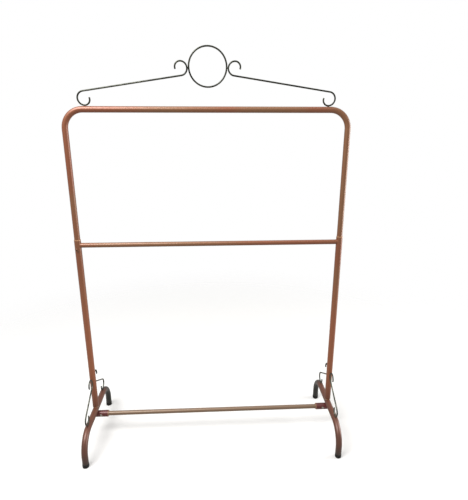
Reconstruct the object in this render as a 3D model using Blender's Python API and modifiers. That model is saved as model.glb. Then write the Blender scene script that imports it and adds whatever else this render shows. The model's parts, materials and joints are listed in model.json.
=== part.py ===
"""A free-standing quilt and garment rack of bent copper-lacquered steel tube, with scroll-wire trim.

Frame: +Z up, the front of the rack faces -Y, and the origin is on the floor under the middle of the rack.
Left and right are as seen from the front, so left is -X.

Each side frame is an arched foot tube with a spigot that the upright stands on, and two scroll braces.
A bottom rail screwed into sockets and a middle rail on pegs join the side frames. A hoop of thinner tube,
which carries the ring and the two long scrolls, telescopes in the uprights, where a screw on each side
clamps it.
"""

import math

import bmesh
import bpy
from mathutils import Vector

# ---- Driving dimensions, in metres ----------------------------------------------------------------
UPRIGHT_SPACING = 1.040      # between the axes of the two uprights
TOP_RAIL_HEIGHT = 1.386      # axis of the hoop's top rail, hoop fully down
MIDDLE_RAIL_HEIGHT = 0.880   # axis
FOOT_TUBE_HEIGHT = 0.127     # axis of the foot tube's level run
FOOT_REACH = 0.198           # from the upright's axis to the axis of a leg, front and rear

FRAME_TUBE_DIAMETER = 0.0254
FRAME_TUBE_WALL = 0.0012
HOOP_TUBE_WALL = 0.0012
RAIL_TUBE_DIAMETER = 0.0190
RAIL_TUBE_WALL = 0.0010
WIRE_DIAMETER = 0.0060

HOOP_BEND_RADIUS = 0.068     # centre line
FOOT_BEND_RADIUS = 0.080     # centre line
MOUTH_ABOVE_RAIL = 0.023     # the uprights' open mouths, above the middle rail's axis
HOOP_INSERTION = 0.300       # how far the hoop's legs reach down into the uprights
LOCK_BELOW_RAIL = 0.015      # axis of the clamping screws, below the middle rail's axis
SPIGOT_INSERTION = 0.060     # how far the spigots reach up into the uprights

RING_OUTER_DIAMETER = 0.1406
RING_RISE = 0.144            # centre of the ring above the top rail's axis
SCROLL_REACH = 0.441         # centre of a long scroll's outer curl, from the middle of the rack
SCROLL_CURL_DROP = 0.0055    # centre of its inner curl, below the centre of the ring
BRACE_CURL_HEIGHT = 0.268    # centre of a brace's upper curl
BRACE_REACH = 0.122          # centre of a brace's lower curl, from the upright's axis
CURL_RADIUS = 0.0240         # centre line of every curl
CURL_TIP_RADIUS = 0.0190     # centre line of its tighter tip
CURL_TIP_TURN = 110.0        # degrees that the tip turns through

SOCKET_WALL = 0.0042
SOCKET_REACH = 0.053         # mouth of the socket, inwards from the upright's axis
SOCKET_TAIL = 0.013          # its closed end, outwards from the upright's axis
SOCKET_BORE_END = 0.006      # bottom of its blind bore, outwards from the upright's axis
RAIL_SCREW_PLACE = 0.0225    # axis of the rail's screw, inwards from the upright's axis
INSERT_LENGTH = 0.045        # threaded plug inside each end of the bottom rail
SPOTFACE_DEPTH = 0.0012

SCREW_DIAMETER = 0.0060      # all the screws are M6 with a hexagon socket
RAIL_SCREW_LENGTH = 0.016
SCREW_HEAD_DIAMETER = 0.0105
SCREW_HEAD_HEIGHT = 0.0033
SCREW_KEY = 0.0040           # across flats
SCREW_KEY_DEPTH = 0.0018
LOCK_HEAD_STANDOFF = 0.0030  # under its head, from the upright's surface, with the screw tight

PEG_LENGTH = 0.030           # inside each end of the middle rail
CAP_LIP = 0.0004             # how far the cap stands out from the leg's surface
CAP_HEIGHT = 0.016           # below the end of the leg
CAP_EDGE_RADIUS = 0.0030
CAP_STEM_LENGTH = 0.020
GLIDE_HEIGHT = 0.010         # below the end of the hoop's leg
GLIDE_STEM_LENGTH = 0.020
GLIDE_CHAMFER = 0.0015

SLIDE_CLEARANCE = 0.0004     # all round between the hoop's tube and the uprights' bore
GAP = 0.0003                 # kept between pieces that touch
OVERSHOOT = 0.010            # how far a cutter runs past what it cuts

# ---- How finely round shapes are divided -----------------------------------------------------------
TUBE_SIDES = 20
WIRE_SIDES = 8
RING_STEPS = 40
BEND_STEPS = 8               # in a quarter turn of tube
DEGREES_PER_WIRE_STEP = 18.0
EDGE_STEPS = 3               # in a rounded edge

# ---- Worked out from the above ----------------------------------------------------------------------
UPRIGHT_X = UPRIGHT_SPACING / 2
FRAME_TUBE_RADIUS = FRAME_TUBE_DIAMETER / 2
FRAME_BORE_RADIUS = FRAME_TUBE_RADIUS - FRAME_TUBE_WALL
HOOP_TUBE_RADIUS = FRAME_BORE_RADIUS - SLIDE_CLEARANCE
HOOP_BORE_RADIUS = HOOP_TUBE_RADIUS - HOOP_TUBE_WALL
RAIL_TUBE_RADIUS = RAIL_TUBE_DIAMETER / 2
RAIL_BORE_RADIUS = RAIL_TUBE_RADIUS - RAIL_TUBE_WALL
WIRE_RADIUS = WIRE_DIAMETER / 2
SOCKET_BORE_RADIUS = RAIL_TUBE_RADIUS + GAP
SOCKET_RADIUS = SOCKET_BORE_RADIUS + SOCKET_WALL
SCREW_RADIUS = SCREW_DIAMETER / 2
SCREW_HOLE_RADIUS = SCREW_RADIUS + GAP

MOUTH_HEIGHT = MIDDLE_RAIL_HEIGHT + MOUTH_ABOVE_RAIL
HOOP_END_HEIGHT = MOUTH_HEIGHT - HOOP_INSERTION
LOCK_HEIGHT = MIDDLE_RAIL_HEIGHT - LOCK_BELOW_RAIL
LEG_END_HEIGHT = CAP_HEIGHT + GAP
FOOT_TOP = FOOT_TUBE_HEIGHT + FRAME_TUBE_RADIUS
UPRIGHT_FOOT = FOOT_TOP + GAP
BOTTOM_RAIL_HEIGHT = FOOT_TUBE_HEIGHT - FRAME_TUBE_RADIUS - GAP - SOCKET_RADIUS
TOP_RAIL_TOP = TOP_RAIL_HEIGHT + HOOP_TUBE_RADIUS
RING_CENTRE_RADIUS = RING_OUTER_DIAMETER / 2 - WIRE_RADIUS
RING_HEIGHT = TOP_RAIL_HEIGHT + RING_RISE
SPOTFACE_LEVEL = SOCKET_RADIUS - SPOTFACE_DEPTH

SIDES = {"left": -1, "right": 1}
ENDS = {"front": -1, "rear": 1}

OBJECT_NAME = "quilt_rack"


# ---- Scene and materials ----------------------------------------------------------------------------
def clear_scene():
    """Remove every object, and make the collections for the parts and for the cutters."""
    for obj in list(bpy.data.objects):
        bpy.data.objects.remove(obj)
    for name in (OBJECT_NAME, "cutters"):
        collection = bpy.data.collections.new(name)
        bpy.context.scene.collection.children.link(collection)


def make_material(name, colour, roughness, metallic):
    """A Principled material, with its colour given in sRGB hexadecimal."""
    def linear(value):
        return value / 12.92 if value <= 0.04045 else ((value + 0.055) / 1.055) ** 2.4

    channels = [linear(int(colour[i:i + 2], 16) / 255) for i in (1, 3, 5)]
    material = bpy.data.materials.new(name)
    material.use_nodes = True
    shader = material.node_tree.nodes["Principled BSDF"]
    shader.inputs["Base Color"].default_value = (*channels, 1.0)
    shader.inputs["Roughness"].default_value = roughness
    shader.inputs["Metallic"].default_value = metallic
    material.diffuse_color = (*channels, 1.0)
    return material


def add_part(name, mesh, material, location=(0, 0, 0), rotation=(0, 0, 0)):
    """Put a mesh into the scene as one sub-part."""
    part = bpy.data.objects.new(name, mesh)
    part.location = location
    part.rotation_euler = rotation
    bpy.data.collections[OBJECT_NAME].objects.link(part)
    if not mesh.materials:
        mesh.materials.append(material)
    mesh.shade_smooth()
    mesh.set_sharp_from_angle(angle=math.radians(40))
    return part


def add_empty(name, location, parent=None):
    """An empty that the sub-parts of a body hang on."""
    empty = bpy.data.objects.new(name, None)
    empty.empty_display_size = 0.05
    empty.location = location
    bpy.data.collections[OBJECT_NAME].objects.link(empty)
    if parent:
        attach([empty], parent)
    return empty


def attach(children, parent):
    """Parent the objects without moving them."""
    bpy.context.view_layer.update()
    for child in children:
        child.parent = parent
        child.matrix_parent_inverse = parent.matrix_world.inverted()


# ---- Shapes -----------------------------------------------------------------------------------------
def arc(centre, radius, start, end, steps):
    """Points of an arc in a plane, from start to end in degrees."""
    angles = [math.radians(start + (end - start) * i / steps) for i in range(steps + 1)]
    return [(centre[0] + radius * math.cos(a), centre[1] + radius * math.sin(a)) for a in angles]


def swept_mesh(name, points, diameter, sides, capped):
    """The mesh of a round bar along a chain of points. Without caps it is an open skin."""
    curve = bpy.data.curves.new(name, "CURVE")
    curve.dimensions = "3D"
    curve.bevel_depth = diameter / 2
    curve.bevel_resolution = sides // 2 - 2
    curve.use_fill_caps = capped
    spline = curve.splines.new("POLY")
    spline.points.add(len(points) - 1)
    for point, place in zip(spline.points, points):
        point.co = (*place, 1.0)
    holder = bpy.data.objects.new(name + "_path", curve)
    bpy.context.scene.collection.objects.link(holder)
    graph = bpy.context.evaluated_depsgraph_get()
    mesh = bpy.data.meshes.new_from_object(holder.evaluated_get(graph))
    bpy.data.objects.remove(holder)
    bpy.data.curves.remove(curve)
    mesh.name = name
    mesh.materials.clear()
    shell = bmesh.new()
    shell.from_mesh(mesh)
    bmesh.ops.remove_doubles(shell, verts=shell.verts, dist=0.00001)
    bmesh.ops.recalc_face_normals(shell, faces=shell.faces)
    shell.to_mesh(mesh)
    shell.free()
    return mesh


def add_bar(name, points, diameter, material, location=(0, 0, 0), rotation=(0, 0, 0), sides=WIRE_SIDES):
    """A solid round bar or wire."""
    return add_part(name, swept_mesh(name, points, diameter, sides, True), material, location, rotation)


def add_tube(name, points, diameter, wall, material, location=(0, 0, 0), rotation=(0, 0, 0)):
    """A round tube, open at both ends, with its wall turned inwards."""
    mesh = swept_mesh(name, points, diameter, TUBE_SIDES, False)
    tube = add_part(name, mesh, material, location, rotation)
    shell = tube.modifiers.new("wall", "SOLIDIFY")
    shell.thickness = wall
    shell.offset = -1
    shell.use_even_offset = True
    return tube


def add_turned(name, profile, material, location=(0, 0, 0), rotation=(0, 0, 0), steps=TUBE_SIDES):
    """A turned piece, from (radius, height) points that run from the top of its axis to the bottom."""
    mesh = bpy.data.meshes.new(name)
    outline = bmesh.new()
    corners = [outline.verts.new((radius, 0, height)) for radius, height in profile]
    for first, second in zip(corners, corners[1:]):
        outline.edges.new((first, second))
    outline.to_mesh(mesh)
    outline.free()
    piece = add_part(name, mesh, material, location, rotation)
    turn = piece.modifiers.new("turn", "SCREW")
    turn.axis = "Z"
    turn.angle = math.tau
    turn.steps = turn.render_steps = steps
    turn.use_merge_vertices = True
    turn.merge_threshold = 0.00001
    turn.use_smooth_shade = True
    return piece


def add_cutter(name, radius, start, end, sides=TUBE_SIDES):
    """A closed cylinder or prism from one point to another, seen by Booleans only."""
    start, end = Vector(start), Vector(end)
    along = end - start
    mesh = bpy.data.meshes.new(name)
    solid = bmesh.new()
    bmesh.ops.create_cone(solid, cap_ends=True, segments=sides, radius1=radius, radius2=radius,
                          depth=along.length)
    solid.to_mesh(mesh)
    solid.free()
    cutter = bpy.data.objects.new(name, mesh)
    cutter.location = (start + end) / 2
    cutter.rotation_euler = along.to_track_quat("Z", "Y").to_euler()
    cutter.hide_render = True
    cutter.display_type = "WIRE"
    bpy.data.collections["cutters"].objects.link(cutter)
    return cutter


def cut(part, *cutters):
    """Take the cutters away from the part."""
    for cutter in cutters:
        difference = part.modifiers.new("cut " + cutter.name, "BOOLEAN")
        difference.operation = "DIFFERENCE"
        difference.solver = "EXACT"
        difference.object = cutter
    return part


def hexagon_radius(across_flats):
    """The corner radius of a hexagon key."""
    return across_flats / 2 / math.cos(math.radians(30))


# ---- The scroll wires -------------------------------------------------------------------------------
def curl(centre, start, knee):
    """A curl, clockwise: an arc from start to knee, in degrees, and then its tighter tip."""
    def steps(turn):
        return max(2, round(abs(turn) / DEGREES_PER_WIRE_STEP))

    towards_knee = Vector((math.cos(math.radians(knee)), math.sin(math.radians(knee))))
    tip_centre = Vector(centre) + towards_knee * (CURL_RADIUS - CURL_TIP_RADIUS)
    main = arc(centre, CURL_RADIUS, start, knee, steps(knee - start))
    tip = arc(tip_centre, CURL_TIP_RADIUS, knee, knee - CURL_TIP_TURN, steps(CURL_TIP_TURN))
    return main + tip[1:]


def scroll(upper, lower):
    """An S-shaped wire as (outward, height) points: an upper curl, a straight run and a lower curl.

    The run is the line that touches the upper curl's circle from below and the lower one's from above.
    """
    across = Vector(lower) - Vector(upper)
    slope = math.atan2(across.y, across.x) + math.asin(2 * CURL_RADIUS / across.length)
    slope = math.degrees(slope)
    upper_curl = curl(upper, slope - 90, -270)
    lower_curl = curl(lower, slope + 90, -90)
    return upper_curl[::-1] + lower_curl


def ornament_scroll_points(side):
    """A long scroll on the top rail, in the plane of the hoop, touching the ring and the rail."""
    to_ring = RING_CENTRE_RADIUS + CURL_RADIUS + WIRE_DIAMETER + GAP
    upper = (math.sqrt(to_ring ** 2 - SCROLL_CURL_DROP ** 2), RING_HEIGHT - SCROLL_CURL_DROP)
    lower = (SCROLL_REACH, TOP_RAIL_TOP + GAP + WIRE_RADIUS + CURL_RADIUS)
    return [(side * out, 0, height - TOP_RAIL_HEIGHT) for out, height in scroll(upper, lower)]


def brace_points(end):
    """A brace, in the plane of its side frame, touching the upright and the top of the foot tube."""
    upper = (FRAME_TUBE_RADIUS + GAP + WIRE_RADIUS + CURL_RADIUS, BRACE_CURL_HEIGHT)
    lower = (BRACE_REACH, FOOT_TOP + GAP + WIRE_RADIUS + CURL_RADIUS)
    return [(0, end * out, height) for out, height in scroll(upper, lower)]


# ---- Sub-assemblies ---------------------------------------------------------------------------------
def build_foot(side_name, side, materials):
    """One arched foot tube, with a rubber cap plugged into each leg."""
    bend = (FOOT_REACH - FOOT_BEND_RADIUS, -FOOT_BEND_RADIUS)
    leg_end = LEG_END_HEIGHT - FOOT_TUBE_HEIGHT
    front_half = [(-FOOT_REACH, leg_end)] + arc((-bend[0], bend[1]), FOOT_BEND_RADIUS, 180, 90, BEND_STEPS)
    rear_half = [(-along, height) for along, height in reversed(front_half)]
    points = [(0, along, height) for along, height in front_half + rear_half]
    place = (side * UPRIGHT_X, 0, FOOT_TUBE_HEIGHT)
    parts = [add_tube(f"foot_tube_{side_name}", points, FRAME_TUBE_DIAMETER, FRAME_TUBE_WALL,
                      materials["lacquer"], place)]

    cap_radius = FRAME_TUBE_RADIUS + CAP_LIP
    stem_radius = FRAME_BORE_RADIUS - GAP
    edge = arc((cap_radius - CAP_EDGE_RADIUS, CAP_EDGE_RADIUS), CAP_EDGE_RADIUS, 0, -90, EDGE_STEPS)
    stem_top = CAP_HEIGHT + CAP_STEM_LENGTH
    profile = [(0, stem_top), (stem_radius, stem_top), (stem_radius, CAP_HEIGHT), (cap_radius, CAP_HEIGHT)]
    profile += edge + [(0, 0)]
    for end_name, end in ENDS.items():
        place = (side * UPRIGHT_X, end * FOOT_REACH, 0)
        parts.append(add_turned(f"foot_cap_{end_name}_{side_name}", profile, materials["rubber"], place))
    return parts


def build_upright(side_name, side, materials):
    """The spigot on the foot tube, the upright that stands on it, and the screw that clamps the hoop.

    The uprights are the same part turned half round, so the right one's screw faces the rear.
    """
    axis = Vector((side * UPRIGHT_X, 0, 0))
    foot = axis + Vector((0, 0, FOOT_TUBE_HEIGHT))
    lock = axis + Vector((0, 0, LOCK_HEIGHT))
    outward = Vector((0, side, 0))
    foot_cutter = add_cutter(f"cutter_foot_{side_name}", FRAME_TUBE_RADIUS + GAP,
                             foot - Vector((0, FOOT_REACH, 0)), foot + Vector((0, FOOT_REACH, 0)))
    add_cutter(f"cutter_upright_{side_name}", FRAME_TUBE_RADIUS + GAP, foot,
               axis + Vector((0, 0, MOUTH_HEIGHT + OVERSHOOT)))
    lock_cutter = add_cutter(f"cutter_lock_{side_name}", SCREW_HOLE_RADIUS, lock,
                             lock + outward * (FRAME_TUBE_RADIUS + OVERSHOOT))

    spigot_top = UPRIGHT_FOOT + SPIGOT_INSERTION - FOOT_TUBE_HEIGHT
    spigot = add_tube(f"upright_spigot_{side_name}", [(0, 0, 0), (0, 0, spigot_top)],
                      2 * HOOP_TUBE_RADIUS, HOOP_TUBE_WALL, materials["steel"], foot)
    cut(spigot, foot_cutter)
    upright = add_tube(f"upright_{side_name}", [(0, 0, UPRIGHT_FOOT), (0, 0, MOUTH_HEIGHT)],
                       FRAME_TUBE_DIAMETER, FRAME_TUBE_WALL, materials["lacquer"], axis)
    cut(upright, lock_cutter)
    screw = build_screw(f"lock_screw_{side_name}", lock, outward, FRAME_TUBE_RADIUS + LOCK_HEAD_STANDOFF,
                        HOOP_TUBE_RADIUS + GAP, materials)
    return [spigot, upright], screw


def build_screw(name, centre, outward, seat, tip, materials):
    """A button-head screw with a hexagon socket, pointing at a tube's axis at centre.

    seat and tip are the distances from there to the underside of its head and to its tip. A tip that is
    negative lies past the axis.
    """
    top = seat + SCREW_HEAD_HEIGHT
    head_radius = SCREW_HEAD_DIAMETER / 2
    rim = seat + SCREW_HEAD_HEIGHT / 4
    profile = [(0, top), (head_radius * 0.6, top), (head_radius * 0.87, (top + rim) / 2),
               (head_radius, rim), (head_radius, seat), (SCREW_RADIUS, seat), (SCREW_RADIUS, tip), (0, tip)]
    screw = add_turned(name, profile, materials["steel"], centre, (math.radians(-90 * outward.y), 0, 0))
    key = add_cutter(f"cutter_key_of_{name}", hexagon_radius(SCREW_KEY),
                     centre + outward * (top - SCREW_KEY_DEPTH), centre + outward * (top + OVERSHOOT), 6)
    return cut(screw, key)


def build_braces(side_name, side, materials):
    """The front and the rear scroll brace of one side frame."""
    place = (side * UPRIGHT_X, 0, 0)
    return [add_bar(f"brace_{end_name}_{side_name}", brace_points(end), WIRE_DIAMETER,
                    materials["wire"], place) for end_name, end in ENDS.items()]


def build_middle_rail(materials):
    """The middle rail, coped to the uprights, and the pegs that its ends slip over."""
    half = UPRIGHT_X
    level = Vector((0, 0, MIDDLE_RAIL_HEIGHT))
    rail = add_tube("middle_rail", [(-half, 0, 0), (half, 0, 0)], RAIL_TUBE_DIAMETER, RAIL_TUBE_WALL,
                    materials["lacquer"], level)
    parts = [rail]
    for side_name, side in SIDES.items():
        body_cutter = bpy.data.objects[f"cutter_upright_{side_name}"]
        cut(rail, body_cutter)
        inner = half - FRAME_TUBE_RADIUS - PEG_LENGTH
        peg = add_bar(f"rail_peg_{side_name}", [(side * inner, 0, 0), (side * half, 0, 0)],
                      2 * (RAIL_BORE_RADIUS - GAP), materials["steel"], level, sides=TUBE_SIDES)
        parts.append(cut(peg, body_cutter))
    return parts


def build_bottom_rail(materials):
    """The bottom rail with its threaded inserts, its two sockets and the screw through each."""
    level = Vector((0, 0, BOTTOM_RAIL_HEIGHT))
    forward = Vector((0, -1, 0))
    end_x = UPRIGHT_X + SOCKET_BORE_END - GAP
    rail = add_tube("bottom_rail", [(-end_x, 0, 0), (end_x, 0, 0)], RAIL_TUBE_DIAMETER, RAIL_TUBE_WALL,
                    materials["lacquer"], level)
    parts = [rail]
    for side_name, side in SIDES.items():
        upright_foot = level + Vector((side * UPRIGHT_X, 0, 0))
        inward = Vector((-side, 0, 0))
        centre = upright_foot + inward * RAIL_SCREW_PLACE
        bore = add_cutter(f"cutter_bore_{side_name}", SOCKET_BORE_RADIUS,
                          upright_foot - inward * SOCKET_BORE_END,
                          upright_foot + inward * (SOCKET_REACH + OVERSHOOT))
        hole = add_cutter(f"cutter_rail_screw_{side_name}", SCREW_HOLE_RADIUS, centre,
                          centre + forward * (SOCKET_RADIUS + OVERSHOOT))
        thread = add_cutter(f"cutter_thread_{side_name}", SCREW_HOLE_RADIUS,
                            centre - forward * (RAIL_TUBE_RADIUS + OVERSHOOT),
                            centre + forward * (RAIL_TUBE_RADIUS + OVERSHOOT))
        spotface = add_cutter(f"cutter_spotface_{side_name}", SCREW_HEAD_DIAMETER / 2 + GAP,
                              centre + forward * SPOTFACE_LEVEL,
                              centre + forward * (SOCKET_RADIUS + OVERSHOOT))
        socket = add_bar(f"rail_socket_{side_name}",
                         [upright_foot - inward * SOCKET_TAIL, upright_foot + inward * SOCKET_REACH],
                         2 * SOCKET_RADIUS, materials["lacquer"], sides=TUBE_SIDES)
        cut(socket, bore, hole, spotface)
        cut(rail, hole)

        insert_end = end_x - UPRIGHT_X - GAP
        insert = add_bar(f"rail_insert_{side_name}",
                         [upright_foot - inward * insert_end,
                          upright_foot + inward * (INSERT_LENGTH - insert_end)],
                         2 * (RAIL_BORE_RADIUS - GAP), materials["steel"], sides=TUBE_SIDES)
        cut(insert, thread)
        seat = SPOTFACE_LEVEL + GAP
        screw = build_screw(f"rail_screw_{side_name}", centre, forward, seat, seat - RAIL_SCREW_LENGTH,
                            materials)
        parts += [socket, insert, screw]
    return parts


def build_hoop(materials):
    """The hoop of thinner tube that slides in the uprights, and the plastic glides in its ends."""
    bend = (UPRIGHT_X - HOOP_BEND_RADIUS, -HOOP_BEND_RADIUS)
    leg_end = HOOP_END_HEIGHT - TOP_RAIL_HEIGHT
    left_half = [(-UPRIGHT_X, leg_end)] + arc((-bend[0], bend[1]), HOOP_BEND_RADIUS, 180, 90, BEND_STEPS)
    right_half = [(-across, height) for across, height in reversed(left_half)]
    points = [(across, 0, height) for across, height in left_half + right_half]
    parts = [add_tube("hoop", points, 2 * HOOP_TUBE_RADIUS, HOOP_TUBE_WALL, materials["lacquer"],
                      (0, 0, TOP_RAIL_HEIGHT))]

    head_radius = FRAME_BORE_RADIUS - GAP
    stem_radius = HOOP_BORE_RADIUS - GAP
    profile = [(0, GLIDE_STEM_LENGTH), (stem_radius, GLIDE_STEM_LENGTH), (stem_radius, 0),
               (head_radius, 0), (head_radius, GLIDE_CHAMFER - GLIDE_HEIGHT),
               (head_radius - GLIDE_CHAMFER, -GLIDE_HEIGHT), (0, -GLIDE_HEIGHT)]
    for side_name, side in SIDES.items():
        place = (side * UPRIGHT_X, 0, HOOP_END_HEIGHT - GAP)
        parts.append(add_turned(f"leg_glide_{side_name}", profile, materials["plastic"], place))
    return parts


def build_ornament(materials):
    """The ring above the top rail and the long scroll on each side of it."""
    bpy.ops.mesh.primitive_torus_add(major_radius=RING_CENTRE_RADIUS, minor_radius=WIRE_RADIUS,
                                     major_segments=RING_STEPS, minor_segments=WIRE_SIDES)
    primitive = bpy.context.active_object
    mesh = primitive.data
    bpy.data.objects.remove(primitive)
    mesh.name = "ornament_ring"
    parts = [add_part("ornament_ring", mesh, materials["wire"], (0, 0, RING_HEIGHT),
                      (math.radians(90), 0, 0))]
    for side_name, side in SIDES.items():
        parts.append(add_bar(f"ornament_scroll_{side_name}", ornament_scroll_points(side), WIRE_DIAMETER,
                             materials["wire"], (0, 0, TOP_RAIL_HEIGHT)))
    return parts


def main():
    """Build the whole rack."""
    clear_scene()
    materials = {
        "lacquer": make_material("copper_lacquer", "#a5694a", 0.32, 0.85),
        "wire": make_material("antique_nickel_wire", "#6f6f62", 0.35, 0.9),
        "steel": make_material("zinc_plated_steel", "#c9c2b6", 0.3, 1.0),
        "rubber": make_material("black_rubber", "#1c1b19", 0.7, 0.0),
        "plastic": make_material("black_nylon", "#26262a", 0.5, 0.0),
    }
    frame = add_empty("frame", (0, 0, 0))
    hoop = add_empty("hoop_slide", (0, 0, TOP_RAIL_HEIGHT), frame)
    frame_parts, screws = [], []
    for side_name, side in SIDES.items():
        frame_parts += build_foot(side_name, side, materials)
        parts, screw = build_upright(side_name, side, materials)
        frame_parts += parts
        screws.append(screw)
        frame_parts += build_braces(side_name, side, materials)
    frame_parts += build_middle_rail(materials)
    frame_parts += build_bottom_rail(materials)
    attach(frame_parts + screws, frame)
    attach(build_hoop(materials) + build_ornament(materials), hoop)


if __name__ == "__main__":
    main()
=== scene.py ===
"""A free-standing quilt and garment rack of bent, copper-lacquered steel tube with scroll-wire trim.

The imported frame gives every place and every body. This script makes the pieces that are seen, gives each one
its finish, and sets up the floor, the light and the camera. Lengths are in metres, +Z is up, the front of the
rack faces -Y, and left is -X.
"""

import json
import logging
import math
from collections.abc import Sequence
from dataclasses import dataclass
from enum import Enum

import bmesh
import bpy
from mathutils import Matrix, Vector

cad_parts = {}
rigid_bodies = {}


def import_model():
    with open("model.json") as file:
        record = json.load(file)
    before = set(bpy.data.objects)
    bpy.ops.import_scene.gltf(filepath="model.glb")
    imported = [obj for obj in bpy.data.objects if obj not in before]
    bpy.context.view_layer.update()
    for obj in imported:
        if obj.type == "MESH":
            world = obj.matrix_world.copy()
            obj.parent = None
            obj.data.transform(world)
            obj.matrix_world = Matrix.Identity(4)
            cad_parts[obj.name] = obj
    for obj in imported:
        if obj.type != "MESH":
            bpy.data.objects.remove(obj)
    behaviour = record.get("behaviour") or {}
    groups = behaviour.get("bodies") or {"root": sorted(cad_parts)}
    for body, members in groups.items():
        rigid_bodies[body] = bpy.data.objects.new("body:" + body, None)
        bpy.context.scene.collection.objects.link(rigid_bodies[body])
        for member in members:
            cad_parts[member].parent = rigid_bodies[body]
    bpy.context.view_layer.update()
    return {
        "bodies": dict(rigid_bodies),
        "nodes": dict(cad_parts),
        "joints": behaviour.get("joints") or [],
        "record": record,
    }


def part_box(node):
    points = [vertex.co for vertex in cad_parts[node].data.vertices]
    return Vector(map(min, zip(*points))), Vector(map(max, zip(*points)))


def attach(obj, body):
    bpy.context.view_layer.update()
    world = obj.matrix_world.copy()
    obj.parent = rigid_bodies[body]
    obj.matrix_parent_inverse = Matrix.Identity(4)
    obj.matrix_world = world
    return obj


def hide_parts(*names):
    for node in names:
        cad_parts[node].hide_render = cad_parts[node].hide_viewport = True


LOG = logging.getLogger("quilt_rack")
MM = 0.001
Span = tuple[float, float]

# ---- Stock and fittings, as in the frame's source ----------------------------------------------------
FRAME_TUBE_RADIUS = 12.7 * MM
FRAME_BORE_RADIUS = 11.5 * MM
HOOP_TUBE_RADIUS = 11.1 * MM
HOOP_BORE_RADIUS = 9.9 * MM
RAIL_TUBE_RADIUS = 9.5 * MM
RAIL_BORE_RADIUS = 8.5 * MM
WIRE_RADIUS = 3.0 * MM
CURL_RADIUS = 24.0 * MM
CURL_TIP_RADIUS = 19.0 * MM
CURL_TIP_TURN = math.radians(110)
TOUCH_GAP = 0.3 * MM          # between pieces that touch
COPE_GAP = 0.02 * MM          # between the middle rail's coped end and its upright
ORNAMENT_DAB = Vector((2.8, 2.2, 2.4)) * MM
BRACE_DAB = Vector((2.4, 2.4, 2.6)) * MM
DAB_LIFT = 1.6 * MM           # a dab of braze is centred this far above the tube, so it stays out of its bore
SCREW_RADIUS = 3.0 * MM
SCREW_HEAD_RADIUS = 5.25 * MM
SCREW_HEAD_HEIGHT = 3.3 * MM
SCREW_HOLE_RADIUS = SCREW_RADIUS + TOUCH_GAP

# ---- How finely round shapes are divided --------------------------------------------------------------
TUBE_SIDES = 64
WIRE_SIDES = 28
TURNED_SIDES = 64
RING_STEPS = 160
DOME_STEPS = 5
EDGE_SEGMENTS = 3             # in a rounded rim
STRAIGHT_STEP = 0.06
BEND_STEP = math.radians(4)
TUBE_END_RUN = 8 * MM         # a ring of points this far from a tube's end keeps its wear near the end
TUBE_RIM = 0.25 * MM          # the rounding of a cut tube's rims
WELD_DISTANCE = 0.001 * MM    # points nearer than this become one
WEAR_SPAN: Span = (0.3, 0.7)  # the part of a noise over which a finish goes from clean to worn
CREASE = math.radians(38)     # a sharper edge than this stays sharp in the shading

# The attributes that the finishes read: a point's place if its tube were pulled straight, with the tube's
# axis along Z, and its distance along the tube from the nearer end.
LAID_STRAIGHT = "laid_straight"
FROM_END = "from_end"
FAR_FROM_END = 1.0            # written where a tube's end is hidden and so gets no pale ring of wear and painted highlight


class Body(Enum):
    """The moving bodies of the frame."""

    FRAME = "frame"
    HOOP = "hoop"
    LOCK_LEFT = "lock_screw_left"
    LOCK_RIGHT = "lock_screw_right"


class Slot(Enum):
    """The record's material slots."""

    LACQUER = "copper_lacquer"
    WIRE = "antique_wire"
    STEEL = "bright_steel"
    RUBBER = "black_rubber"
    NYLON = "black_nylon"


class Side(Enum):
    """The two side frames, with the sign of their X."""

    LEFT = -1
    RIGHT = 1

    @property
    def word(self) -> str:
        """The side's word in the names of nodes and pieces."""
        return self.name.lower()


class End(Enum):
    """The two ends of a foot tube, with the sign of their Y."""

    FRONT = -1
    REAR = 1

    @property
    def word(self) -> str:
        """The end's word in the names of nodes and pieces."""
        return self.name.lower()


# ---- Finishes -----------------------------------------------------------------------------------------
def linear(colour: str) -> tuple[float, float, float, float]:
    """Turn an sRGB colour to linear.

    Args:
        colour: "#rrggbb".

    Returns:
        Linear red, green, blue and an alpha of 1.
    """
    def channel(value: float) -> float:
        """One channel, from sRGB to linear."""
        return value / 12.92 if value <= 0.04045 else ((value + 0.055) / 1.055) ** 2.4

    red, green, blue = (channel(int(colour[i:i + 2], 16) / 255) for i in (1, 3, 5))
    return red, green, blue, 1.0


def add_node(tree: bpy.types.NodeTree, kind: str, inputs: dict[str | int, object] | None = None,
             **settings: object) -> bpy.types.Node:
    """Add a node with its settings and links.

    Args:
        tree: The node tree it goes into.
        kind: Its type, such as "ShaderNodeTexNoise".
        inputs: For each input, by name or number, its value or the output that feeds it.
        settings: The node's own properties.

    Returns:
        The new node.
    """
    node = tree.nodes.new(kind)
    for name, value in settings.items():
        setattr(node, name, value)
    for key, value in (inputs or {}).items():
        if isinstance(value, bpy.types.NodeSocket):
            tree.links.new(value, node.inputs[key])
        else:
            node.inputs[key].default_value = value
    return node


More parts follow.
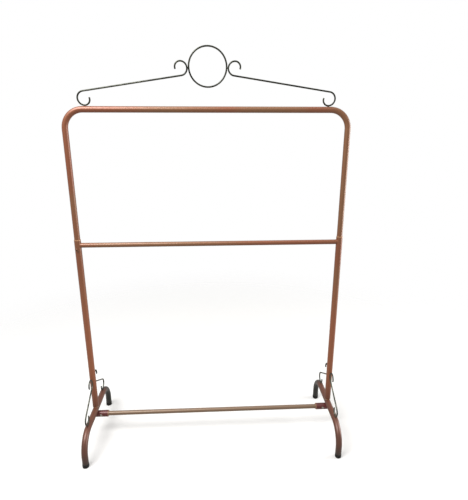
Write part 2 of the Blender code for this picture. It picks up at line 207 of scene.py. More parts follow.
@dataclass(frozen=True)
class Finish:
    """A finish: the material's name, and the slot of the record that it belongs to."""

    name: str
    slot: Slot

    def material(self) -> bpy.types.Material:
        """The finish's material, which is made when it is first asked for."""
        made = bpy.data.materials.get(self.name)
        if made is None:
            made = bpy.data.materials.new(self.name)
            made.use_nodes = True
            self.paint(made.node_tree, made.node_tree.nodes["Principled BSDF"])
        return made

    def paint(self, tree: bpy.types.NodeTree, shader: bpy.types.Node) -> None:
        """Set the shader and the nodes that feed it.

        Args:
            tree: The material's node tree.
            shader: Its Principled BSDF.
        """
        raise NotImplementedError

    @staticmethod
    def mix(tree: bpy.types.NodeTree, driver: bpy.types.NodeSocket, span: Span, first: object,
            second: object) -> bpy.types.NodeSocket:
        """Mix two colours as a value goes from one end of a span to the other.

        Args:
            tree: The material's node tree.
            driver: The output that holds the value.
            span: Where the change starts, and where it is complete.
            first: The colour before the change, or the output that gives it.
            second: The colour after it.

        Returns:
            The output that holds the mixed colour.
        """
        share = add_node(tree, "ShaderNodeMapRange", {0: driver, 1: span[0], 2: span[1]},
                         interpolation_type="SMOOTHSTEP")
        mixed = add_node(tree, "ShaderNodeMix", {0: share.outputs[0], 6: first, 7: second},
                         data_type="RGBA")
        return mixed.outputs[2]


@dataclass(frozen=True)
class CopperLacquer(Finish):
    """Copper-pigmented lacquer under a clear coat, sprayed on drawn steel tube.

    The pigment is fine metal flake in a brown binder, so the body of the colour is half metallic and rough.
    The clear coat over it is satin, which gives broad cream highlights. The tube's drawing lines run along
    it, faintly. The colour is redder in patches and low on the uprights, and brown on the feet. The rear legs
    are painted dark, as painted shade, and the colour darkens towards the floor. The open ends of the tubes
    have a pale ring, partly wear from rubbing and partly a painted highlight.
    """

    copper: str = "#8f6039"
    thick: str = "#94502b"
    low: str = "#a86039"
    foot: str = "#6b3c28"
    # the dark of the scuffs, and the painted shade on the rear legs; towards the floor the colour darkens to
    # it as well
    patina_and_shade: str = "#1d1c14"
    # the pale ring at the open ends of the tubes: partly wear from rubbing, partly a painted highlight
    rubbed_and_highlight: str = "#dcb083"
    low_zone: Span = (0.84, 0.45)         # the heights over which the colour turns to each of these
    foot_zone: Span = (0.28, 0.08)
    floor_zone: Span = (0.08, -0.01)
    rear_shade_zone: Span = (0.10, 0.175)       # how far behind the uprights the rear legs turn dark: painted shade
    drift_mm: float = 320.0               # the spray's passes
    drift_detail: float = 3.0
    drift_span: Span = (0.38, 0.66)
    line_mm: float = 0.9                  # drawing lines, coarser than the real ones so that they show
    line_length_mm: float = 70.0
    line_span: Span = (0.3, 0.7)
    line_light: Span = (0.95, 1.05)
    flake_mm: float = 0.5                 # flakes are about 0.05 mm, drawn ten times as coarse to show
    flake_light: Span = (0.90, 1.10)
    peel_mm: float = 2.2                  # orange peel in the clear coat
    scuff_mm: float = 9.0
    scuff_span: Span = (0.66, 0.80)
    scuff_wear: Span = (0.35, 0.75)       # how much scuffing takes the roughness from the first of these
    scuff_roughness: Span = (0.48, 0.60)  # to the second
    line_depth_mm: float = 0.02
    peel_depth_mm: float = 0.03
    metallic: float = 0.45
    coat_roughness: float = 0.36
    coat_ior: float = 1.6
    rubbed_and_highlight_width_mm: float = 1.7
    rubbed_and_highlight_edge: Span = (1.1, 0.85)       # where the pale ring of wear and painted highlight starts and is complete, in shares of its reach

    def paint(self, tree: bpy.types.NodeTree, shader: bpy.types.Node) -> None:
        """Set the shader and the nodes that feed it.

        Args:
            tree: The material's node tree.
            shader: Its Principled BSDF.
        """
        place = add_node(tree, "ShaderNodeTexCoord").outputs["Object"]
        straight = add_node(tree, "ShaderNodeAttribute", attribute_name=LAID_STRAIGHT).outputs["Vector"]
        scuffs = add_node(tree, "ShaderNodeTexNoise", {
            "Vector": place, "Scale": 1 / (self.scuff_mm * MM),
            "Detail": 6.0, "Roughness": 0.6}).outputs["Fac"]
        across, along = 1 / (self.line_mm * MM), 1 / (self.line_length_mm * MM)
        drawn = add_node(tree, "ShaderNodeMapping", {"Vector": straight, "Scale": (across, across, along)})
        lines = add_node(tree, "ShaderNodeTexNoise",
                         {"Vector": drawn.outputs[0], "Scale": 1.0, "Detail": 2.0}).outputs["Fac"]

        colour = self.sprayed(tree, place)
        colour = add_node(tree, "ShaderNodeVectorMath", {
            0: colour, "Scale": self.sparkle(tree, straight, lines)}, operation="SCALE").outputs[0]
        colour = self.mix(tree, scuffs, self.scuff_span, colour, linear(self.patina_and_shade))
        tree.links.new(self.pale_end_ring(tree, colour, scuffs), shader.inputs["Base Color"])

        rough = add_node(tree, "ShaderNodeMapRange", {
            0: scuffs, 1: self.scuff_wear[0], 2: self.scuff_wear[1],
            3: self.scuff_roughness[0], 4: self.scuff_roughness[1]})
        tree.links.new(rough.outputs[0], shader.inputs["Roughness"])
        fine = add_node(tree, "ShaderNodeBump",
                        {"Height": lines, "Strength": 0.35, "Distance": self.line_depth_mm * MM})
        tree.links.new(fine.outputs[0], shader.inputs["Normal"])
        peel = add_node(tree, "ShaderNodeTexNoise", {"Vector": place, "Scale": 1 / (self.peel_mm * MM)})
        skin = add_node(tree, "ShaderNodeBump",
                        {"Height": peel.outputs["Fac"], "Strength": 0.5, "Distance": self.peel_depth_mm * MM})
        tree.links.new(skin.outputs[0], shader.inputs["Coat Normal"])
        shader.inputs["Metallic"].default_value = self.metallic
        shader.inputs["Coat Weight"].default_value = 1.0
        shader.inputs["Coat Roughness"].default_value = self.coat_roughness
        shader.inputs["Coat IOR"].default_value = self.coat_ior

    def sprayed(self, tree: bpy.types.NodeTree, place: bpy.types.NodeSocket) -> bpy.types.NodeSocket:
        """The lacquer's colour as it was sprayed and has aged, with painted shade on the rear legs.

        Args:
            tree: The material's node tree.
            place: The output that holds the point's place.

        Returns:
            The output that holds the colour.
        """
        axes = add_node(tree, "ShaderNodeSeparateXYZ", {0: place})
        height, depth = axes.outputs["Z"], axes.outputs["Y"]
        drift = add_node(tree, "ShaderNodeTexNoise", {
            "Vector": place, "Scale": 1 / (self.drift_mm * MM), "Detail": self.drift_detail}).outputs["Fac"]
        colour = self.mix(tree, drift, self.drift_span, linear(self.copper), linear(self.thick))
        colour = self.mix(tree, height, self.low_zone, colour, linear(self.low))
        colour = self.mix(tree, height, self.foot_zone, colour, linear(self.foot))
        # painted shade: the rear legs, behind the uprights, turn dark
        colour = self.mix(tree, depth, self.rear_shade_zone, colour, linear(self.patina_and_shade))
        # darker towards the floor
        return self.mix(tree, height, self.floor_zone, colour, linear(self.patina_and_shade))

    def sparkle(self, tree: bpy.types.NodeTree, straight: bpy.types.NodeSocket,
                lines: bpy.types.NodeSocket) -> bpy.types.NodeSocket:
        """How light the flakes and the drawing lines make the colour.

        Args:
            tree: The material's node tree.
            straight: The output that holds the point's place on the tube pulled straight.
            lines: The output that holds the drawing lines.

        Returns:
            The output that holds the factor.
        """
        flakes = add_node(tree, "ShaderNodeTexVoronoi", {
            "Vector": straight, "Scale": 1 / (self.flake_mm * MM)})
        flake_light = add_node(tree, "ShaderNodeMapRange", {
            0: flakes.outputs["Color"], 3: self.flake_light[0], 4: self.flake_light[1]})
        line_light = add_node(tree, "ShaderNodeMapRange", {
            0: lines, 1: self.line_span[0], 2: self.line_span[1],
            3: self.line_light[0], 4: self.line_light[1]})
        return add_node(tree, "ShaderNodeMath", {0: flake_light.outputs[0], 1: line_light.outputs[0]},
                        operation="MULTIPLY").outputs[0]

    def pale_end_ring(self, tree: bpy.types.NodeTree, colour: bpy.types.NodeSocket,
             scuffs: bpy.types.NodeSocket) -> bpy.types.NodeSocket:
        """The colour with its pale ring at the open ends of the tubes, partly wear from rubbing and partly a
        painted highlight, whose edge the scuffs make ragged.

        Args:
            tree: The material's node tree.
            colour: The output that holds the colour.
            scuffs: The output that holds the scuffs.

        Returns:
            The output that holds the worn colour.
        """
        # the pale ring at the ends: wear from rubbing, and a painted highlight
        reach = 2 * self.rubbed_and_highlight_width_mm * MM
        from_end = add_node(tree, "ShaderNodeAttribute", attribute_name=FROM_END).outputs["Fac"]
        edge = add_node(tree, "ShaderNodeMath", {0: scuffs, 1: reach, 2: from_end}, operation="MULTIPLY_ADD")
        span = (self.rubbed_and_highlight_edge[0] * reach, self.rubbed_and_highlight_edge[1] * reach)
        return self.mix(tree, edge.outputs[0], span, colour, linear(self.rubbed_and_highlight))


@dataclass(frozen=True)
class PlatedMetal(Finish):
    """Plated steel, with a tarnish that lies in soft patches and fine marks from handling.

    Plating copies the wire's or the screw's smooth surface, so it is glossy, and the tarnish makes it
    duller and darker.
    """

    bright: str
    tarnish: str
    roughness: float
    tarnish_roughness: float = 0.16       # added where it is tarnished
    patch_mm: float = 14.0
    patch_span: Span = (0.36, 0.66)
    mark_mm: float = 1.2
    coat: float = 0.0
    coat_roughness: float = 0.12

    def paint(self, tree: bpy.types.NodeTree, shader: bpy.types.Node) -> None:
        """Set the shader and the nodes that feed it.

        Args:
            tree: The material's node tree.
            shader: Its Principled BSDF.
        """
        place = add_node(tree, "ShaderNodeTexCoord").outputs["Object"]
        patches = add_node(tree, "ShaderNodeTexNoise", {
            "Vector": place, "Scale": 1 / (self.patch_mm * MM), "Detail": 4.0, "Roughness": 0.55})
        colour = self.mix(tree, patches.outputs["Fac"], self.patch_span, linear(self.bright),
                          linear(self.tarnish))
        tree.links.new(colour, shader.inputs["Base Color"])
        rough = add_node(tree, "ShaderNodeMapRange", {
            0: patches.outputs["Fac"], 1: WEAR_SPAN[0], 2: WEAR_SPAN[1],
            3: self.roughness, 4: self.roughness + self.tarnish_roughness})
        tree.links.new(rough.outputs[0], shader.inputs["Roughness"])
        marks = add_node(tree, "ShaderNodeTexNoise", {
            "Vector": place, "Scale": 1 / (self.mark_mm * MM), "Detail": 3.0})
        bump = add_node(tree, "ShaderNodeBump",
                        {"Height": marks.outputs["Fac"], "Strength": 0.4, "Distance": 0.02 * MM})
        tree.links.new(bump.outputs[0], shader.inputs["Normal"])
        shader.inputs["Metallic"].default_value = 1.0
        shader.inputs["Coat Weight"].default_value = self.coat
        shader.inputs["Coat Roughness"].default_value = self.coat_roughness


@dataclass(frozen=True)
class MouldedPolymer(Finish):
    """Black rubber or nylon from a mould: matt or satin, with the mould's fine spark texture and dust."""

    black: str
    dusty: str
    roughness: float
    dust_roughness: float = 0.15          # added where it is dusty
    grain_mm: float = 0.7                 # the mould's texture, drawn coarser than it is so that it shows
    dust_mm: float = 8.0
    dust_span: Span = (0.45, 0.75)

    def paint(self, tree: bpy.types.NodeTree, shader: bpy.types.Node) -> None:
        """Set the shader and the nodes that feed it.

        Args:
            tree: The material's node tree.
            shader: Its Principled BSDF.
        """
        place = add_node(tree, "ShaderNodeTexCoord").outputs["Object"]
        dust = add_node(tree, "ShaderNodeTexNoise", {
            "Vector": place, "Scale": 1 / (self.dust_mm * MM), "Detail": 5.0})
        colour = self.mix(tree, dust.outputs["Fac"], self.dust_span, linear(self.black), linear(self.dusty))
        tree.links.new(colour, shader.inputs["Base Color"])
        grain = add_node(tree, "ShaderNodeTexNoise", {
            "Vector": place, "Scale": 1 / (self.grain_mm * MM), "Detail": 2.0})
        rough = add_node(tree, "ShaderNodeMapRange", {
            0: dust.outputs["Fac"], 1: WEAR_SPAN[0], 2: WEAR_SPAN[1],
            3: self.roughness, 4: self.roughness + self.dust_roughness})
        tree.links.new(rough.outputs[0], shader.inputs["Roughness"])
        bump = add_node(tree, "ShaderNodeBump",
                        {"Height": grain.outputs["Fac"], "Strength": 0.6, "Distance": 0.06 * MM})
        tree.links.new(bump.outputs[0], shader.inputs["Normal"])
        shader.inputs["IOR"].default_value = 1.5


TUBE_LACQUER = CopperLacquer("copper_lacquer_on_drawn_tube", Slot.LACQUER)
# a paler, greyer copy of the lacquer, for the bottom rail
RAIL_LACQUER = CopperLacquer(
    "dusty_copper_lacquer_on_bottom_rail", Slot.LACQUER,
    copper="#9a7f64", thick="#8a6d52", low="#8e7156", foot="#8e7156")
SOCKET_LACQUER = CopperLacquer(
    "copper_lacquer_on_turned_socket", Slot.LACQUER,
    copper="#7d322a", thick="#6a2723", low="#6c2823", foot="#6c2823", rubbed_and_highlight="#b98a66",
    line_length_mm=3.0, line_mm=0.7)
NICKEL_WIRE = PlatedMetal(
    "antique_nickel_plated_wire", Slot.WIRE, bright="#47493b", tarnish="#25271d",
    roughness=0.34, patch_mm=45.0, coat=0.5)
BRACE_WIRE = PlatedMetal(
    "antique_nickel_plated_brace_wire", Slot.WIRE, bright="#6b6c60", tarnish="#2f3427",
    roughness=0.34, patch_mm=30.0, coat=0.5)
ZINC_STEEL = PlatedMetal(
    "zinc_plated_steel", Slot.STEEL, bright="#cfcac0", tarnish="#a09a8c",
    roughness=0.28, patch_mm=5.0, mark_mm=0.8)
SCREW_LACQUER = PlatedMetal(
    "copper_lacquer_on_steel_screw", Slot.LACQUER, bright="#a8795a", tarnish="#6d4630",
    roughness=0.34, patch_mm=4.0, mark_mm=0.8, coat=0.6)
RUBBER = MouldedPolymer(
    "moulded_black_rubber", Slot.RUBBER, black="#1a1917", dusty="#2f2d2a", roughness=0.62)
NYLON = MouldedPolymer(
    "moulded_black_nylon", Slot.NYLON, black="#26262a", dusty="#323236", roughness=0.42)


# ---- Shapes -------------------------------------------------------------------------------------------
def verts_of(geometry: Sequence[object]) -> list[bmesh.types.BMVert]:
    """The vertices among an operator's results."""
    return [item for item in geometry if isinstance(item, bmesh.types.BMVert)]


def edges_between(verts: Sequence[bmesh.types.BMVert]) -> list[bmesh.types.BMEdge]:
    """The edges that have both their ends among these vertices."""
    inside = set(verts)
    return list({edge for vert in verts for edge in vert.link_edges if edge.other_vert(vert) in inside})


def facing(direction: Vector) -> Matrix:
    """The turn that takes the Z axis to a direction."""
    return direction.to_track_quat("Z", "Y").to_matrix().to_4x4()


class Sweep:
    """A round section, or several concentric ones, drawn along straights and bends as they are called."""

    def __init__(self, start: Vector, heading: Vector, radii: Sequence[float], sides: int) -> None:
        """Lay the first loops down.

        Args:
            start: Where the line starts.
            heading: The way that it sets off.
            radii: The radius of each concentric skin, from the outside in.
            sides: How many sides each has.
        """
        self.shape = bmesh.new()
        self.straight = self.shape.verts.layers.float_vector.new(LAID_STRAIGHT)
        self.from_end = self.shape.verts.layers.float.new(FROM_END)
        self.heading = heading.normalized()
        self.travelled = 0.0
        place = Matrix.Translation(start) @ facing(self.heading)
        self.loops: list[list[bmesh.types.BMVert]] = []
        for radius in radii:
            loop = bmesh.ops.create_circle(self.shape, segments=sides, radius=radius)["verts"]
            for vert in loop:
                vert[self.straight] = vert.co
            bmesh.ops.transform(self.shape, matrix=place, verts=loop)
            self.loops.append(loop)
        self.first_loops = list(self.loops)

    def extend(self, move: Matrix, length: float) -> None:
        """Extrude every loop one step.

        Args:
            move: What takes a loop to its next place.
            length: How far that is along the centre line.
        """
        self.travelled += length
        for number, loop in enumerate(self.loops):
            made = bmesh.ops.extrude_edge_only(self.shape, edges=edges_between(loop))["geom"]
            fresh = verts_of(made)
            for vert in fresh:
                vert[self.straight] = (*vert[self.straight].xy, self.travelled)
            bmesh.ops.transform(self.shape, matrix=move, verts=fresh)
            self.loops[number] = fresh
        self.heading = (move.to_3x3() @ self.heading).normalized()

    def run(self, length: float) -> "Sweep":
        """Go straight on for a length, and return the sweep."""
        steps = max(1, math.ceil(length / STRAIGHT_STEP))
        for _ in range(steps):
            self.extend(Matrix.Translation(self.heading * (length / steps)), length / steps)
        return self

    def run_whole(self, length: float, end_run: float = TUBE_END_RUN) -> "Sweep":
        """Go straight on for a whole tube, with a ring of points near each end, and return the sweep."""
        return self.run(end_run).run(length - 2 * end_run).run(end_run)

    def bend(self, centre: Vector, axis: Vector, angle: float, radius: float) -> "Sweep":
        """Go round a bend.

        Args:
            centre: The bend's centre.
            axis: The axis that it turns about.
            angle: How far it turns.
            radius: The radius of its centre line.

        Returns:
            The sweep.
        """
        steps = max(1, math.ceil(abs(angle) / BEND_STEP))
        turn = Matrix.Rotation(angle / steps, 4, axis)
        move = Matrix.Translation(centre) @ turn @ Matrix.Translation(-centre)
        for _ in range(steps):
            self.extend(move, radius * abs(angle) / steps)
        return self

    def open_tube(self, rim: float, rubbed_and_highlight: bool = True) -> bmesh.types.BMesh:
        """Close the wall of a tube at both ends, and round its rims.

        The faces of the wall's ends are laid one by one, because bridge_loops twists two rings that lie in
        one plane.

        Args:
            rim: The radius of the rounding.
            rubbed_and_highlight: Whether the ends get the pale ring of wear and painted highlight.

        Returns:
            The finished shape.
        """
        rims = []
        for outer, inner in (self.first_loops, self.loops):
            rims += edges_between(outer) + edges_between(inner)
            across = {vert: min(inner, key=lambda other: (other.co - vert.co).length) for vert in outer}
            for edge in edges_between(outer):
                first, second = edge.verts
                self.shape.faces.new((first, second, across[second], across[first]))
        bmesh.ops.recalc_face_normals(self.shape, faces=self.shape.faces)
        self.measure_from_ends(0.0 if rubbed_and_highlight else FAR_FROM_END)
        bmesh.ops.bevel(self.shape, geom=rims, offset=rim, offset_type="OFFSET", affect="EDGES",
                        segments=EDGE_SEGMENTS, profile=0.5, material=-1)
        return self.shape

    def domed_wire(self, dome: float) -> bmesh.types.BMesh:
        """Close both ends of a wire with domes.

        Args:
            dome: How far a dome stands out.

        Returns:
            The finished shape.
        """
        back = self.heading_at_start()
        for loop, heading, sign in ((self.first_loops[0], back, -1), (self.loops[0], self.heading, 1)):
            centre = self.middle(loop)
            base = loop[0][self.straight].z
            for step in range(1, DOME_STEPS + 1):
                swing = math.pi / 2 * step / DOME_STEPS
                made = bmesh.ops.extrude_edge_only(self.shape, edges=edges_between(loop))["geom"]
                fresh = verts_of(made)
                bmesh.ops.translate(self.shape, verts=fresh, vec=centre - self.middle(fresh))
                shrink = math.cos(swing) / math.cos(math.pi / 2 * (step - 1) / DOME_STEPS)
                bmesh.ops.scale(self.shape, verts=fresh, vec=(shrink,) * 3,
                                space=Matrix.Translation(-centre))
                bmesh.ops.translate(self.shape, verts=fresh, vec=heading * dome * math.sin(swing))
                for vert in fresh:
                    around = vert[self.straight].xy * shrink
                    vert[self.straight] = (*around, base + sign * dome * math.sin(swing))
                loop = fresh
            bmesh.ops.pointmerge(self.shape, verts=loop, merge_co=self.middle(loop))
        self.measure_from_ends(0.0)
        return self.shape

    @staticmethod
    def middle(verts: Sequence[bmesh.types.BMVert]) -> Vector:
        """The middle of some vertices."""
        return sum((vert.co for vert in verts), Vector()) / len(verts)

    def heading_at_start(self) -> Vector:
        """The way out of the line's first end."""
        loop = self.first_loops[0]
        inside = set(loop)
        onward = next(edge.other_vert(loop[0]) for edge in loop[0].link_edges
                      if edge.other_vert(loop[0]) not in inside)
        return (loop[0].co - onward.co).normalized()

    def measure_from_ends(self, extra: float) -> None:
        """Write each vertex's distance from the nearer end of the line, and an extra distance."""
        for vert in self.shape.verts:
            along = vert[self.straight].z
            vert[self.from_end] = extra + max(0.0, min(along, self.travelled - along))


def spin_round(shape: bmesh.types.BMesh, section: Sequence[object], centre: Vector, axis: Vector,
               steps: int) -> None:
    """Spin a section once round an axis, and close the seam.

    Args:
        shape: The shape that holds the section.
        section: The section's vertices and edges.
        centre: A point of the axis.
        axis: Its direction.
        steps: How many steps the turn takes.
    """
    bmesh.ops.spin(shape, geom=section, cent=centre, axis=axis, angle=math.tau, steps=steps, use_merge=True)
    bmesh.ops.remove_doubles(shape, verts=shape.verts, dist=WELD_DISTANCE)


def turned(profile: Sequence[tuple[float, float]]) -> bmesh.types.BMesh:
    """Turn a closed shape about the Z axis.

    Args:
        profile: (radius, height) points that start and end on the axis.

    Returns:
        The shape.
    """
    shape = bmesh.new()
    verts = [shape.verts.new((radius, 0, height)) for radius, height in profile]
    edges = [shape.edges.new(pair) for pair in zip(verts, verts[1:])]
    spin_round(shape, verts + edges, Vector(), Vector((0, 0, 1)), TURNED_SIDES)
    return shape


def rounded(radius: float, height: float, size: float, start: float,
            steps: int = 4) -> list[tuple[float, float]]:
    """The points of a rounded outer corner of a profile.

    Args:
        radius: The radius that the corner would have.
        height: The height that it would have.
        size: The radius of the rounding.
        start: 90 for a corner that comes from a top face, and 0 for one that leads to a bottom face.
        steps: How many steps it has.

    Returns:
        (radius, height) points, going down.
    """
    up = 1 if start > 0 else -1
    turn = [math.radians(start - 90 * step / steps) for step in range(steps + 1)]
    return [(radius - size + size * math.cos(a), height - up * size + size * math.sin(a)) for a in turn]


def prism(radius: float, start: Vector, end: Vector, sides: int = TURNED_SIDES) -> bpy.types.Object:
    """A closed cylinder or prism to cut with.

    Args:
        radius: Its radius, to the corners.
        start: The middle of one end.
        end: The middle of the other.
        sides: How many sides it has.

    Returns:
        The cutter.
    """
    along = end - start
    shape = bmesh.new()
    bmesh.ops.create_cone(shape, cap_ends=True, segments=sides, radius1=radius, radius2=radius,
                          depth=along.length)
    place = Matrix.Translation((start + end) / 2) @ facing(along)
    bmesh.ops.transform(shape, matrix=place, verts=shape.verts)
    return plain_object(shape, "cutter")


def plain_object(shape: bmesh.types.BMesh, name: str) -> bpy.types.Object:
    """Put a shape into the scene, with its faces turned outward.

    Args:
        shape: The shape, which is used up.
        name: The object's name.

    Returns:
        The object.
    """
    bmesh.ops.recalc_face_normals(shape, faces=shape.faces)
    if shape.calc_volume(signed=True) < 0:
        bmesh.ops.reverse_faces(shape, faces=shape.faces)
    mesh = bpy.data.meshes.new(name)
    shape.to_mesh(mesh)
    shape.free()
    made = bpy.data.objects.new(name, mesh)
    bpy.context.scene.collection.objects.link(made)
    return made


def carved(shape: bmesh.types.BMesh, cutters: Sequence[bpy.types.Object]) -> bmesh.types.BMesh:
    """Cut holes and recesses in a shape.

    Args:
        shape: The shape, which is used up.
        cutters: What is taken away, which is used up too.

    Returns:
        The cut shape.
    """
    block = plain_object(shape, "block")
    for cutter in cutters:
        cut = block.modifiers.new("cut", "BOOLEAN")
        cut.operation = "DIFFERENCE"
        cut.solver = "MANIFOLD"
        cut.object = cutter
    graph = bpy.context.evaluated_depsgraph_get()
    result = bmesh.new()
    result.from_mesh(block.evaluated_get(graph).to_mesh())
    for used in (block, *cutters):
        mesh = used.data
        bpy.data.objects.remove(used)
        bpy.data.meshes.remove(mesh)
    return result


def lay_straight(shape: bmesh.types.BMesh, start: Vector, end: Vector) -> None:
    """Write the finish's attributes on a straight piece from where its points are.

    Args:
        shape: The piece.
        start: One end of its axis.
        end: The other.
    """
    layers = shape.verts.layers
    straight = layers.float_vector.get(LAID_STRAIGHT) or layers.float_vector.new(LAID_STRAIGHT)
    from_end = layers.float.get(FROM_END) or layers.float.new(FROM_END)
    length = (end - start).length
    turn = (end - start).to_track_quat("Z", "Y").to_matrix().inverted()
    for vert in shape.verts:
        place = turn @ (vert.co - start)
        vert[straight] = place
        vert[from_end] = max(0.0, min(place.z, length - place.z))


def add_piece(shape: bmesh.types.BMesh, name: str, body: Body, finish: Finish,
              replaces: Sequence[str] = ()) -> bpy.types.Object:
    """Make a finished piece of the rack from a shape.

    Args:
        shape: The shape, in its place. It is used up.
        name: The piece's name.
        body: The body that it moves with.
        finish: Its finish.
        replaces: The CAD nodes that it stands for.

    Returns:
        The piece.
    """
    piece = plain_object(shape, name)
    piece.data.shade_smooth()
    piece.data.set_sharp_from_angle(angle=CREASE)
    piece.data.materials.append(finish.material())
    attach(piece, body.value)
    if replaces:
        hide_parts(*replaces)
    LOG.info("%s: %d faces, rides on %s", name, len(piece.data.polygons), body.value)
    return piece


def dress_node(frame: dict, node: str, finish: Finish) -> None:
    """Give a CAD node that stays its finish.

    Args:
        node: The node's name.
        finish: Its finish.
    """
    kept = frame["nodes"][node]
    kept.data.materials.clear()
    kept.data.materials.append(finish.material())
    LOG.info("%s: CAD node with %s", node, finish.name)


def middle_of(node: str) -> Vector:
    """The middle of a CAD node's box."""
    low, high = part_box(node)
    return (low + high) / 2


# ---- Sub-assemblies -----------------------------------------------------------------------------------
@dataclass
class Foot:
    """One arched foot tube with its rubber caps."""

    side: Side
    bend_radius: float = 80 * MM
    cap_height: float = 16 * MM
    cap_lip: float = 0.4 * MM
    cap_edge: float = 3.0 * MM
    cap_collar: float = 2.0 * MM      # the groove under the cap's collar is this far down
    cap_top_edge: float = 0.5 * MM
    groove_depth: float = 0.5 * MM
    groove_half: float = 0.4 * MM     # half of the groove's height
    cap_recess: float = 1.2 * MM      # the underside is hollowed this deep inside its rim
    cap_rim: float = 2.5 * MM
    recess_slope: float = 0.8 * MM
    stem_length: float = 20 * MM

    def build(self) -> None:
        """Make the foot's pieces."""
        self.build_tube()
        for end in End:
            self.build_cap(end)

    def build_tube(self) -> None:
        """Draw the tube up one leg, over the arch and down the other."""
        node = f"foot_tube_{self.side.word}"
        low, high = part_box(node)
        across = (low.x + high.x) / 2
        level = high.z - FRAME_TUBE_RADIUS
        reach = (high.y - low.y) / 2 - FRAME_TUBE_RADIUS
        inner = reach - self.bend_radius
        knee = level - self.bend_radius
        leg = knee - low.z
        axis = Vector((1, 0, 0))
        sweep = Sweep(Vector((across, -reach, low.z)), Vector((0, 0, 1)),
                      (FRAME_TUBE_RADIUS, FRAME_BORE_RADIUS), TUBE_SIDES)
        sweep.run(leg).bend(Vector((across, -inner, knee)), axis, -math.pi / 2, self.bend_radius)
        sweep.run(2 * inner).bend(Vector((across, inner, knee)), axis, -math.pi / 2, self.bend_radius)
        shape = sweep.run(leg).open_tube(TUBE_RIM, rubbed_and_highlight=False)
        add_piece(shape, f"foot_arch_{self.side.word}", Body.FRAME, TUBE_LACQUER, [node])

    def build_cap(self, end: End) -> None:
        """Turn one rubber cap, with its collar, its groove and its hollowed underside."""
        node = f"foot_cap_{end.word}_{self.side.word}"
        low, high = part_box(node)
        middle = middle_of(node)
        radius = FRAME_TUBE_RADIUS + self.cap_lip
        stem = FRAME_BORE_RADIUS - TOUCH_GAP
        top = low.z + self.cap_height
        stem_top = top + self.stem_length
        groove = top - self.cap_collar
        profile = [(0, stem_top), (stem, stem_top), (stem, top)]
        profile += rounded(radius, top, self.cap_top_edge, 90)
        profile += [(radius, groove), (radius - self.groove_depth, groove - self.groove_half),
                    (radius, groove - 2 * self.groove_half)]
        profile += rounded(radius, low.z, self.cap_edge, 0)
        hollow = radius - self.cap_edge - self.cap_rim
        ceiling = low.z + self.cap_recess
        profile += [(hollow, low.z), (hollow - self.recess_slope, ceiling), (0, ceiling)]
        shape = turned(profile)
        bmesh.ops.translate(shape, verts=shape.verts, vec=(middle.x, middle.y, 0))
        add_piece(shape, f"cap_{end.word}_{self.side.word}", Body.FRAME, RUBBER, [node])


@dataclass
class Screw:
    """A button-head screw with a hexagon socket and a rolled thread."""

    node: str
    name: str
    body: Body
    outward: Vector               # the way that its head faces
    finish: Finish
    pitch: float = 1.0 * MM
    thread_depth: float = 0.55 * MM
    plain_neck: float = 0.6 * MM
    key: float = 4.0 * MM         # across flats
    key_depth: float = 1.8 * MM
    rows_per_pitch: int = 8
    crown: float = 0.55           # the flat top's share of the head's radius
    dome_steps: int = 8
    head_edge: float = 0.2 * MM
    tip_chamfer: float = 0.8 * MM
    tip_plain: float = 1.0 * MM   # the thread starts this far from the tip

    def build(self) -> None:
        """Turn the screw, roll its thread and sink its socket."""
        low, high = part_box(self.node)
        middle = middle_of(self.node)
        reach = abs((high - low).dot(self.outward))
        top = reach / 2
        seat = top - SCREW_HEAD_HEIGHT
        rim = seat + SCREW_HEAD_HEIGHT / 4
        profile = [(0, top)]
        for step in range(self.dome_steps + 1):
            swing = math.pi / 2 * step / self.dome_steps
            share = self.crown + (1 - self.crown) * math.sin(swing)
            profile.append((share * SCREW_HEAD_RADIUS, rim + (top - rim) * math.cos(swing)))
        profile += [(SCREW_HEAD_RADIUS, seat + self.head_edge), (SCREW_HEAD_RADIUS - self.head_edge, seat),
                    (SCREW_RADIUS, seat)]
        row = self.pitch / self.rows_per_pitch
        bottom = -reach / 2
        rows = int((seat - bottom) / row)
        profile += [(SCREW_RADIUS, seat - row * step) for step in range(1, rows)]
        profile += [(SCREW_RADIUS, bottom + self.tip_chamfer), (SCREW_RADIUS - self.tip_chamfer, bottom),
                    (0, bottom)]
        shape = turned(profile)
        self.roll_thread(shape, seat - self.plain_neck, bottom + self.tip_plain)
        corner = self.key / 2 / math.cos(math.radians(30))
        key = prism(corner, Vector((0, 0, top - self.key_depth)), Vector((0, 0, top + 5 * MM)), 6)
        shape = carved(shape, [key])
        place = Matrix.Translation(middle) @ facing(self.outward)
        bmesh.ops.transform(shape, matrix=place, verts=shape.verts)
        add_piece(shape, self.name, self.body, self.finish, [self.node])

    def roll_thread(self, shape: bmesh.types.BMesh, top: float, bottom: float) -> None:
        """Press a helical groove into the shank.

        Args:
            shape: The screw, with its axis along Z.
            top: Where the thread ends under the head.
            bottom: Where it starts near the tip.
        """
        for vert in shape.verts:
            radius = vert.co.xy.length
            if not bottom <= vert.co.z <= top or radius < 0.9 * SCREW_RADIUS:
                continue
            turn = vert.co.z / self.pitch + math.atan2(vert.co.y, vert.co.x) / math.tau
            groove = abs(2 * (turn % 1.0) - 1)
            vert.co.xy *= 1 - self.thread_depth * (1 - groove) / radius


